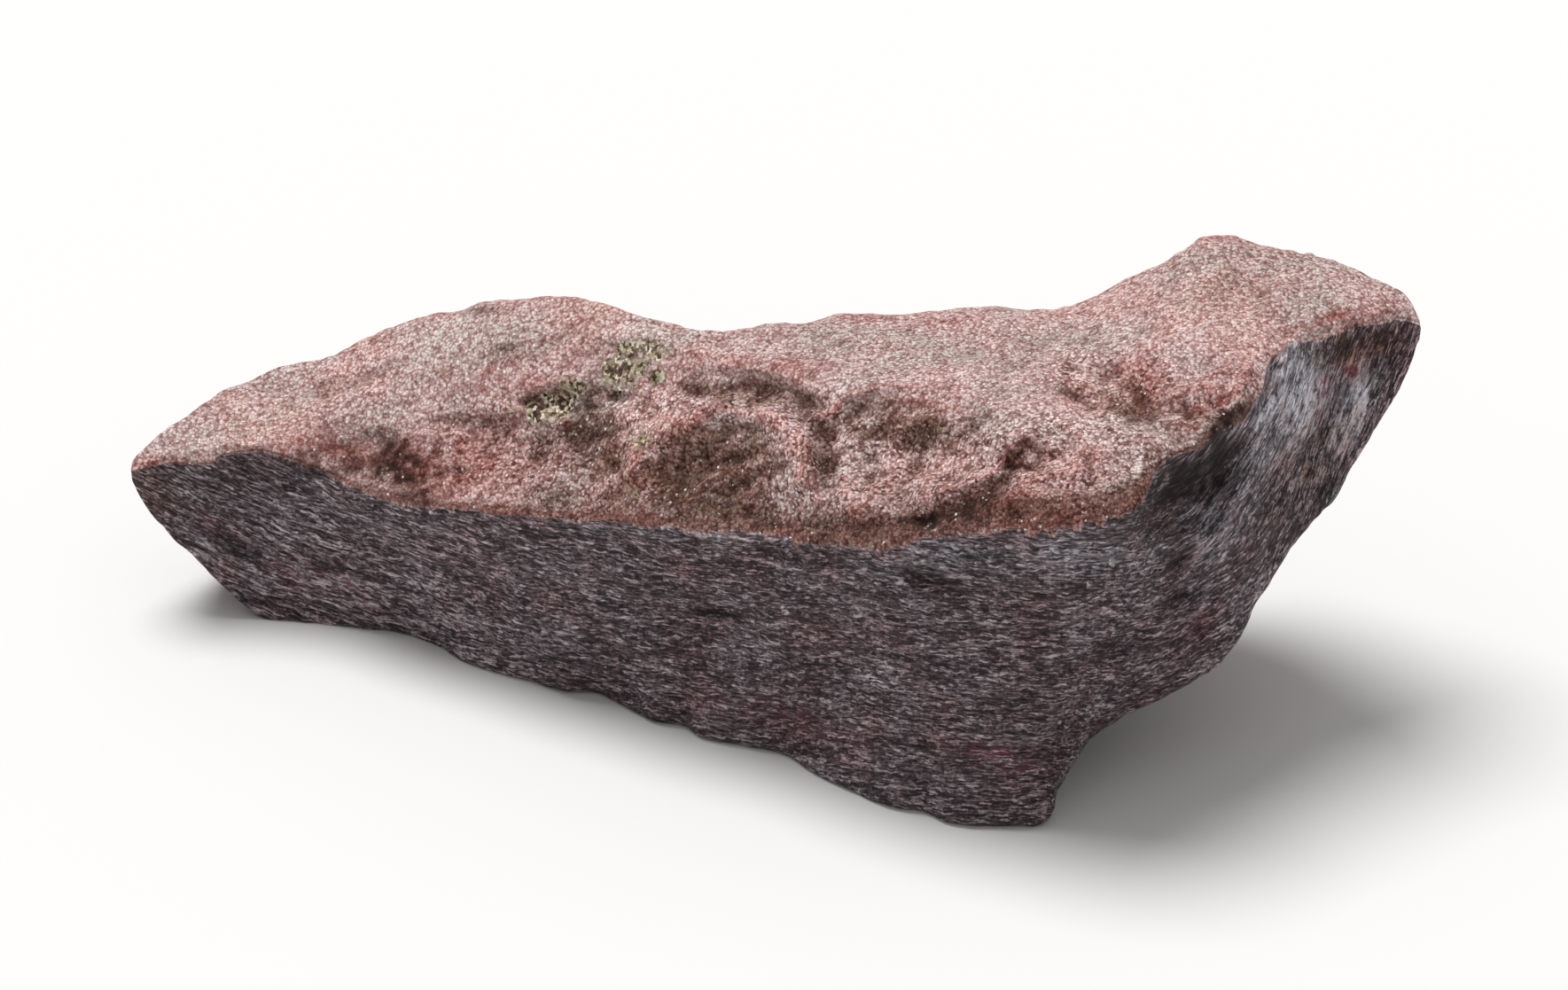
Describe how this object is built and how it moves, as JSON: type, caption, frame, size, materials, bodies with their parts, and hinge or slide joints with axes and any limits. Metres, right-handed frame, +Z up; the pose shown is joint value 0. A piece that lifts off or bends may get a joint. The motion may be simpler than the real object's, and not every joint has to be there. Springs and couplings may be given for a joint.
{
  "type": "rough rock",
  "caption": "Long, boat-shaped fragment of rough red quartzite with a steep dark face, a scalloped broken edge, a thin low tip and a blunt overhanging knob, lying on a flat sole.",
  "frame": {"origin": "Middle of the stone's length and depth, on the bed it lies on", "axes": "+X runs along the stone from its thin tip to its knob, +Y away from the steep near face, +Z up"},
  "size_m": [0.1384, 0.066, 0.0505],
  "materials": {
    "stone": "matte, granular, weathered pink above and dark purplish grey on the steep face"
  },
  "bodies": {
    "root": {"rock": "stone"}
  },
  "joints": []
}
